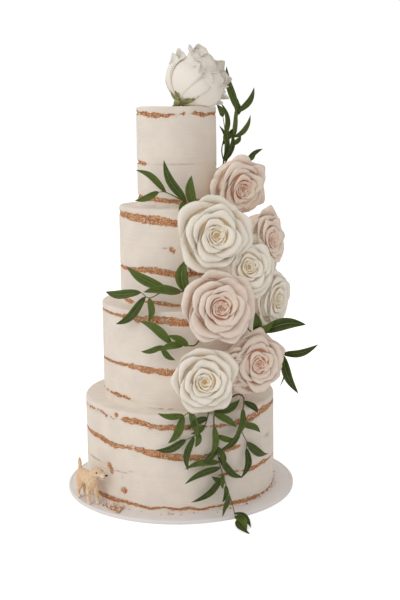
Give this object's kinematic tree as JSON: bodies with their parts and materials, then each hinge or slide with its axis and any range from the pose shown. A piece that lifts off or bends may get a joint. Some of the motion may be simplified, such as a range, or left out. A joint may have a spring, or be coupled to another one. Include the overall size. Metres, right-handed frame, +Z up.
{
  "type": "tiered wedding cake",
  "caption": "Round tiered wedding cake in thin ivory icing with sponge showing, a cascade of white and blush roses, leafy sprigs and a small dog figure, on its round board.",
  "frame": {"origin": "middle of the cake board's underside", "axes": "+Z up along the tiers' common axis, -Y towards the viewer of the picture, +X to the viewer's right, the side that the roses are on"},
  "size_m": [0.3361, 0.3442, 0.5829],
  "materials": {
    "icing": "satin, thinly scraped",
    "sponge": "matt open crumb",
    "board": "smooth white, slightly glossy",
    "rose_white": "soft petal",
    "rose_blush": "soft petal",
    "leaf": "satin",
    "dog": "satin"
  },
  "bodies": {
    "root": {"cake_board": "board", "tier_1_icing_1": "icing", "tier_1_sponge_1": "sponge", "tier_1_icing_2": "icing", "tier_1_sponge_2": "sponge", "tier_1_icing_3": "icing", "tier_1_sponge_3": "sponge", "tier_1_icing_4": "icing", "tier_1_sponge_4": "sponge", "tier_1_icing_5": "icing", "tier_2_icing_1": "icing", "tier_2_sponge_1": "sponge", "tier_2_icing_2": "icing", "tier_2_sponge_2": "sponge", "tier_2_icing_3": "icing", "tier_2_sponge_3": "sponge", "tier_2_icing_4": "icing", "tier_3_icing_1": "icing", "tier_3_sponge_1": "sponge", "tier_3_icing_2": "icing", "tier_3_sponge_2": "sponge", "tier_3_icing_3": "icing", "tier_3_sponge_3": "sponge", "tier_3_icing_4": "icing", "tier_3_sponge_4": "sponge", "tier_3_icing_5": "icing", "tier_4_icing_1": "icing", "tier_4_sponge_1": "sponge", "tier_4_icing_2": "icing", "tier_4_sponge_2": "sponge", "tier_4_icing_3": "icing", "tier_4_sponge_3": "sponge", "tier_4_icing_4": "icing", "rose_top": "rose_white", "rose_1_blush": "rose_blush", "rose_2_white": "rose_white", "rose_3_blush": "rose_blush", "rose_4_white": "rose_white", "rose_5_white": "rose_white", "rose_6_blush": "rose_blush", "rose_7_blush": "rose_blush", "rose_8_white": "rose_white", "rose_9_blush": "rose_blush", "sprig_upper_left": "leaf", "sprig_middle_left": "leaf", "sprig_lower_left": "leaf", "sprig_back_tall": "leaf", "sprig_back_near": "leaf", "sprig_back_low": "leaf", "sprig_right_long": "leaf", "sprig_right_low": "leaf", "sprig_trail_middle": "leaf", "sprig_trail_left": "leaf", "sprig_trail_short": "leaf", "sprig_trail_right": "leaf", "dog_figurine": "dog"}
  },
  "joints": []
}
